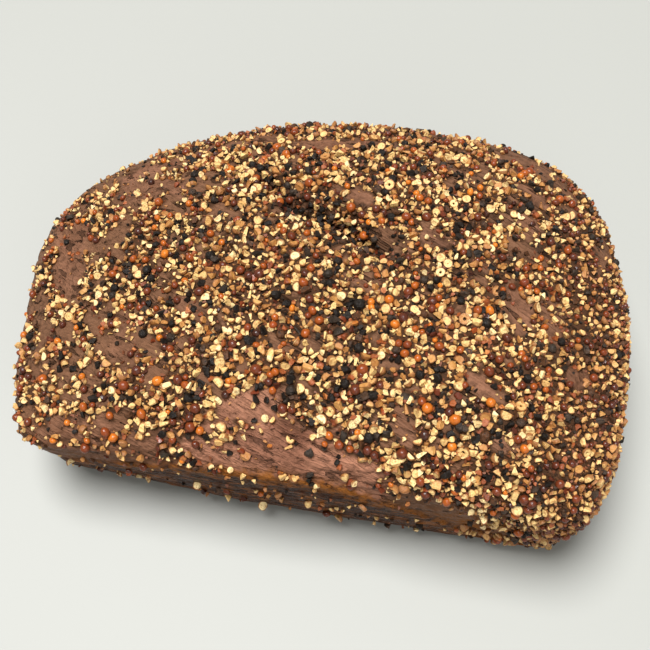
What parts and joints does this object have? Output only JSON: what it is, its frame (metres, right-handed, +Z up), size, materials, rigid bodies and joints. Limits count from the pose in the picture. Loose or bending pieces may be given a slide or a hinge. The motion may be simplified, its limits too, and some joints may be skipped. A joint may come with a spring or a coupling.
{
  "type": "pepper-crusted deli loaf",
  "caption": "Whole loaf-shaped block with a flat base, crowned top, steep near flank and tapered end, coated in cracked peppercorns and seeds.",
  "frame": {"origin": "on the resting face, under the centre of the loaf's bounding box", "axes": "+X along the long axis towards the tall blunt end, +Z up, -Y towards the steep bare flank"},
  "size_m": [0.2198, 0.144, 0.0783],
  "materials": {
    "crust": "dark mauve-brown, fibrous and slightly moist, semi-gloss on the bare flank",
    "topping_pale": "cracked seed, cream to ochre, dull",
    "topping_seed": "whole round seed, orange-brown to mahogany, satin",
    "topping_black": "cracked black pepper husk, wrinkled, dull"
  },
  "bodies": {
    "root": {"loaf": "crust"}
  },
  "joints": []
}
